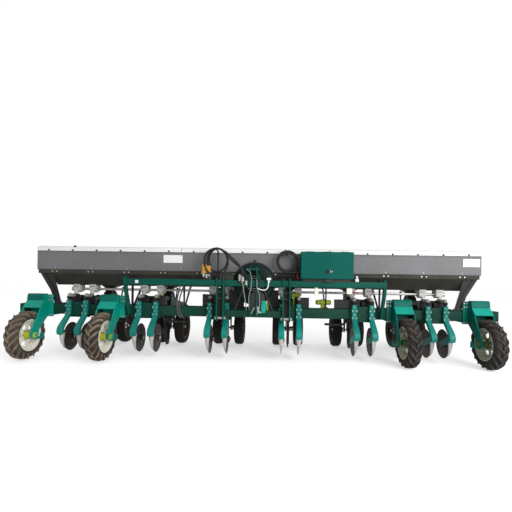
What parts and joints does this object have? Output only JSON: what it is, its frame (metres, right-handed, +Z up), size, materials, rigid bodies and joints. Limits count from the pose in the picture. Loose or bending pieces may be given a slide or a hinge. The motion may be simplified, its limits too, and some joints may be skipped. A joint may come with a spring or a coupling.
{
  "type": "corn planter",
  "caption": "Mounted no-till corn planter: wide toolbar on gauge wheels, paired fertiliser openers and floating seed units on parallel arms under a long lidded hopper.",
  "frame": {"origin": "middle of the machine's bounding box, on the ground", "axes": "+X to the right for someone facing the hitch, +Y rearwards away from the tractor, +Z up"},
  "size_m": [4.7, 1.436, 1.0953],
  "materials": {
    "frame_paint": "satin",
    "fan_rotor": "satin",
    "hopper_sheet": "satin",
    "shaft_steel": "satin",
    "lid_sheet": "satin",
    "toolbox_paint": "satin",
    "fork_paint": "gloss",
    "gauge_tyre": "dusty",
    "shank_paint": "gloss",
    "disc_steel": "worn",
    "arm_paint": "satin",
    "unit_black": "matt",
    "press_rubber": "matt",
    "cable_black": "matt",
    "hose_rubber": "matt"
  },
  "bodies": {
    "frame": {"main_frame": "frame_paint", "hopper": "hopper_sheet", "toolbox": "toolbox_paint", "wheel_fork_1": "fork_paint", "wheel_fork_2": "fork_paint", "wheel_fork_3": "fork_paint", "wheel_fork_4": "fork_paint", "opener_bracket_1": "shank_paint", "opener_bracket_2": "shank_paint", "opener_bracket_3": "shank_paint", "opener_bracket_4": "shank_paint", "opener_bracket_5": "shank_paint", "opener_bracket_6": "shank_paint", "cable_coil": "cable_black", "hydraulic_hose": "hose_rubber"},
    "metering_shaft": {"metering_shaft": "shaft_steel"},
    "fan_rotor": {"fan_rotor": "fan_rotor"},
    "lid_left": {"lid_left": "lid_sheet"},
    "lid_centre": {"lid_centre": "lid_sheet"},
    "lid_right": {"lid_right": "lid_sheet"},
    "gauge_wheel_1": {"gauge_wheel_1": "gauge_tyre"},
    "gauge_wheel_2": {"gauge_wheel_2": "gauge_tyre"},
    "gauge_wheel_3": {"gauge_wheel_3": "gauge_tyre"},
    "gauge_wheel_4": {"gauge_wheel_4": "gauge_tyre"},
    "opener_disc_1a": {"opener_disc_1a": "disc_steel"},
    "opener_disc_1b": {"opener_disc_1b": "disc_steel"},
    "lower_arm_1": {"lower_arm_1": "arm_paint"},
    "upper_arm_1": {"upper_arm_1": "arm_paint"},
    "row_unit_1": {"row_unit_1": "unit_black"},
    "press_wheels_1": {"press_wheels_1": "press_rubber"},
    "opener_disc_2a": {"opener_disc_2a": "disc_steel"},
    "opener_disc_2b": {"opener_disc_2b": "disc_steel"},
    "lower_arm_2": {"lower_arm_2": "arm_paint"},
    "upper_arm_2": {"upper_arm_2": "arm_paint"},
    "row_unit_2": {"row_unit_2": "unit_black"},
    "press_wheels_2": {"press_wheels_2": "press_rubber"},
    "opener_disc_3a": {"opener_disc_3a": "disc_steel"},
    "opener_disc_3b": {"opener_disc_3b": "disc_steel"},
    "lower_arm_3": {"lower_arm_3": "arm_paint"},
    "upper_arm_3": {"upper_arm_3": "arm_paint"},
    "row_unit_3": {"row_unit_3": "unit_black"},
    "press_wheels_3": {"press_wheels_3": "press_rubber"},
    "opener_disc_4a": {"opener_disc_4a": "disc_steel"},
    "opener_disc_4b": {"opener_disc_4b": "disc_steel"},
    "lower_arm_4": {"lower_arm_4": "arm_paint"},
    "upper_arm_4": {"upper_arm_4": "arm_paint"},
    "row_unit_4": {"row_unit_4": "unit_black"},
    "press_wheels_4": {"press_wheels_4": "press_rubber"},
    "opener_disc_5a": {"opener_disc_5a": "disc_steel"},
    "opener_disc_5b": {"opener_disc_5b": "disc_steel"},
    "lower_arm_5": {"lower_arm_5": "arm_paint"},
    "upper_arm_5": {"upper_arm_5": "arm_paint"},
    "row_unit_5": {"row_unit_5": "unit_black"},
    "press_wheels_5": {"press_wheels_5": "press_rubber"},
    "opener_disc_6a": {"opener_disc_6a": "disc_steel"},
    "opener_disc_6b": {"opener_disc_6b": "disc_steel"},
    "lower_arm_6": {"lower_arm_6": "arm_paint"},
    "upper_arm_6": {"upper_arm_6": "arm_paint"},
    "row_unit_6": {"row_unit_6": "unit_black"},
    "press_wheels_6": {"press_wheels_6": "press_rubber"}
  },
  "joints": [
    {"name": "metering_shaft_spin", "type": "hinge", "parent": "frame", "child": "metering_shaft", "pos_m": [0, -0.147, 0.66], "axis": [1, 0, 0], "continuous": true},
    {"name": "fan_spin", "type": "hinge", "parent": "frame", "child": "fan_rotor", "pos_m": [0, -0.342, 0.745], "axis": [0, 1, 0], "continuous": true},
    {"name": "lid_left_hinge", "type": "hinge", "parent": "frame", "child": "lid_left", "pos_m": [0, 0.268, 1.0403], "axis": [-1, 0, 0], "range_deg": [0, 100]},
    {"name": "lid_centre_hinge", "type": "hinge", "parent": "frame", "child": "lid_centre", "pos_m": [0, 0.268, 1.0403], "axis": [-1, 0, 0], "range_deg": [0, 100]},
    {"name": "lid_right_hinge", "type": "hinge", "parent": "frame", "child": "lid_right", "pos_m": [0, 0.268, 1.0403], "axis": [-1, 0, 0], "range_deg": [0, 100]},
    {"name": "gauge_wheel_1_spin", "type": "hinge", "parent": "frame", "child": "gauge_wheel_1", "pos_m": [-2.145, -0.492, 0.226], "axis": [1, 0, 0], "continuous": true},
    {"name": "gauge_wheel_2_spin", "type": "hinge", "parent": "frame", "child": "gauge_wheel_2", "pos_m": [-1.42, -0.492, 0.226], "axis": [1, 0, 0], "continuous": true},
    {"name": "gauge_wheel_3_spin", "type": "hinge", "parent": "frame", "child": "gauge_wheel_3", "pos_m": [1.42, -0.492, 0.226], "axis": [1, 0, 0], "continuous": true},
    {"name": "gauge_wheel_4_spin", "type": "hinge", "parent": "frame", "child": "gauge_wheel_4", "pos_m": [2.145, -0.492, 0.226], "axis": [1, 0, 0], "continuous": true},
    {"name": "opener_disc_1a_spin", "type": "hinge", "parent": "frame", "child": "opener_disc_1a", "pos_m": [-1.833, -0.272, 0.19], "axis": [1, 0, 0], "continuous": true},
    {"name": "opener_disc_1b_spin", "type": "hinge", "parent": "frame", "child": "opener_disc_1b", "pos_m": [-1.667, -0.272, 0.19], "axis": [1, 0, 0], "continuous": true},
    {"name": "lower_arm_1_swing", "type": "hinge", "parent": "frame", "child": "lower_arm_1", "pos_m": [-1.75, -0.117, 0.4], "axis": [1, 0, 0], "range_deg": [-20, 0]},
    {"name": "upper_arm_1_swing", "type": "hinge", "parent": "frame", "child": "upper_arm_1", "pos_m": [-1.75, -0.117, 0.56], "axis": [1, 0, 0], "range_deg": [-20, 0]},
    {"name": "row_unit_1_level", "type": "hinge", "parent": "lower_arm_1", "child": "row_unit_1", "pos_m": [-1.75, 0.203, 0.4], "axis": [1, 0, 0], "range_deg": [0, 20]},
    {"name": "press_wheels_1_spin", "type": "hinge", "parent": "row_unit_1", "child": "press_wheels_1", "pos_m": [-1.75, 0.518, 0.2], "axis": [1, 0, 0], "continuous": true},
    {"name": "opener_disc_2a_spin", "type": "hinge", "parent": "frame", "child": "opener_disc_2a", "pos_m": [-1.133, -0.272, 0.19], "axis": [1, 0, 0], "continuous": true},
    {"name": "opener_disc_2b_spin", "type": "hinge", "parent": "frame", "child": "opener_disc_2b", "pos_m": [-0.967, -0.272, 0.19], "axis": [1, 0, 0], "continuous": true},
    {"name": "lower_arm_2_swing", "type": "hinge", "parent": "frame", "child": "lower_arm_2", "pos_m": [-1.05, -0.117, 0.4], "axis": [1, 0, 0], "range_deg": [-20, 0]},
    {"name": "upper_arm_2_swing", "type": "hinge", "parent": "frame", "child": "upper_arm_2", "pos_m": [-1.05, -0.117, 0.56], "axis": [1, 0, 0], "range_deg": [-20, 0]},
    {"name": "row_unit_2_level", "type": "hinge", "parent": "lower_arm_2", "child": "row_unit_2", "pos_m": [-1.05, 0.203, 0.4], "axis": [1, 0, 0], "range_deg": [0, 20]},
    {"name": "press_wheels_2_spin", "type": "hinge", "parent": "row_unit_2", "child": "press_wheels_2", "pos_m": [-1.05, 0.518, 0.2], "axis": [1, 0, 0], "continuous": true},
    {"name": "opener_disc_3a_spin", "type": "hinge", "parent": "frame", "child": "opener_disc_3a", "pos_m": [-0.433, -0.272, 0.19], "axis": [1, 0, 0], "continuous": true},
    {"name": "opener_disc_3b_spin", "type": "hinge", "parent": "frame", "child": "opener_disc_3b", "pos_m": [-0.267, -0.272, 0.19], "axis": [1, 0, 0], "continuous": true},
    {"name": "lower_arm_3_swing", "type": "hinge", "parent": "frame", "child": "lower_arm_3", "pos_m": [-0.35, -0.117, 0.4], "axis": [1, 0, 0], "range_deg": [-20, 0]},
    {"name": "upper_arm_3_swing", "type": "hinge", "parent": "frame", "child": "upper_arm_3", "pos_m": [-0.35, -0.117, 0.56], "axis": [1, 0, 0], "range_deg": [-20, 0]},
    {"name": "row_unit_3_level", "type": "hinge", "parent": "lower_arm_3", "child": "row_unit_3", "pos_m": [-0.35, 0.203, 0.4], "axis": [1, 0, 0], "range_deg": [0, 20]},
    {"name": "press_wheels_3_spin", "type": "hinge", "parent": "row_unit_3", "child": "press_wheels_3", "pos_m": [-0.35, 0.518, 0.2], "axis": [1, 0, 0], "continuous": true},
    {"name": "opener_disc_4a_spin", "type": "hinge", "parent": "frame", "child": "opener_disc_4a", "pos_m": [0.267, -0.272, 0.19], "axis": [1, 0, 0], "continuous": true},
    {"name": "opener_disc_4b_spin", "type": "hinge", "parent": "frame", "child": "opener_disc_4b", "pos_m": [0.433, -0.272, 0.19], "axis": [1, 0, 0], "continuous": true},
    {"name": "lower_arm_4_swing", "type": "hinge", "parent": "frame", "child": "lower_arm_4", "pos_m": [0.35, -0.117, 0.4], "axis": [1, 0, 0], "range_deg": [-20, 0]},
    {"name": "upper_arm_4_swing", "type": "hinge", "parent": "frame", "child": "upper_arm_4", "pos_m": [0.35, -0.117, 0.56], "axis": [1, 0, 0], "range_deg": [-20, 0]},
    {"name": "row_unit_4_level", "type": "hinge", "parent": "lower_arm_4", "child": "row_unit_4", "pos_m": [0.35, 0.203, 0.4], "axis": [1, 0, 0], "range_deg": [0, 20]},
    {"name": "press_wheels_4_spin", "type": "hinge", "parent": "row_unit_4", "child": "press_wheels_4", "pos_m": [0.35, 0.518, 0.2], "axis": [1, 0, 0], "continuous": true},
    {"name": "opener_disc_5a_spin", "type": "hinge", "parent": "frame", "child": "opener_disc_5a", "pos_m": [0.967, -0.272, 0.19], "axis": [1, 0, 0], "continuous": true},
    {"name": "opener_disc_5b_spin", "type": "hinge", "parent": "frame", "child": "opener_disc_5b", "pos_m": [1.133, -0.272, 0.19], "axis": [1, 0, 0], "continuous": true},
    {"name": "lower_arm_5_swing", "type": "hinge", "parent": "frame", "child": "lower_arm_5", "pos_m": [1.05, -0.117, 0.4], "axis": [1, 0, 0], "range_deg": [-20, 0]},
    {"name": "upper_arm_5_swing", "type": "hinge", "parent": "frame", "child": "upper_arm_5", "pos_m": [1.05, -0.117, 0.56], "axis": [1, 0, 0], "range_deg": [-20, 0]},
    {"name": "row_unit_5_level", "type": "hinge", "parent": "lower_arm_5", "child": "row_unit_5", "pos_m": [1.05, 0.203, 0.4], "axis": [1, 0, 0], "range_deg": [0, 20]},
    {"name": "press_wheels_5_spin", "type": "hinge", "parent": "row_unit_5", "child": "press_wheels_5", "pos_m": [1.05, 0.518, 0.2], "axis": [1, 0, 0], "continuous": true},
    {"name": "opener_disc_6a_spin", "type": "hinge", "parent": "frame", "child": "opener_disc_6a", "pos_m": [1.667, -0.272, 0.19], "axis": [1, 0, 0], "continuous": true},
    {"name": "opener_disc_6b_spin", "type": "hinge", "parent": "frame", "child": "opener_disc_6b", "pos_m": [1.833, -0.272, 0.19], "axis": [1, 0, 0], "continuous": true},
    {"name": "lower_arm_6_swing", "type": "hinge", "parent": "frame", "child": "lower_arm_6", "pos_m": [1.75, -0.117, 0.4], "axis": [1, 0, 0], "range_deg": [-20, 0]},
    {"name": "upper_arm_6_swing", "type": "hinge", "parent": "frame", "child": "upper_arm_6", "pos_m": [1.75, -0.117, 0.56], "axis": [1, 0, 0], "range_deg": [-20, 0]},
    {"name": "row_unit_6_level", "type": "hinge", "parent": "lower_arm_6", "child": "row_unit_6", "pos_m": [1.75, 0.203, 0.4], "axis": [1, 0, 0], "range_deg": [0, 20]},
    {"name": "press_wheels_6_spin", "type": "hinge", "parent": "row_unit_6", "child": "press_wheels_6", "pos_m": [1.75, 0.518, 0.2], "axis": [1, 0, 0], "continuous": true}
  ],
  "couplings": [
    {"joint": "upper_arm_1_swing", "follows": "lower_arm_1_swing", "ratio": 1},
    {"joint": "row_unit_1_level", "follows": "lower_arm_1_swing", "ratio": -1},
    {"joint": "upper_arm_2_swing", "follows": "lower_arm_2_swing", "ratio": 1},
    {"joint": "row_unit_2_level", "follows": "lower_arm_2_swing", "ratio": -1},
    {"joint": "upper_arm_3_swing", "follows": "lower_arm_3_swing", "ratio": 1},
    {"joint": "row_unit_3_level", "follows": "lower_arm_3_swing", "ratio": -1},
    {"joint": "upper_arm_4_swing", "follows": "lower_arm_4_swing", "ratio": 1},
    {"joint": "row_unit_4_level", "follows": "lower_arm_4_swing", "ratio": -1},
    {"joint": "upper_arm_5_swing", "follows": "lower_arm_5_swing", "ratio": 1},
    {"joint": "row_unit_5_level", "follows": "lower_arm_5_swing", "ratio": -1},
    {"joint": "upper_arm_6_swing", "follows": "lower_arm_6_swing", "ratio": 1},
    {"joint": "row_unit_6_level", "follows": "lower_arm_6_swing", "ratio": -1}
  ]
}
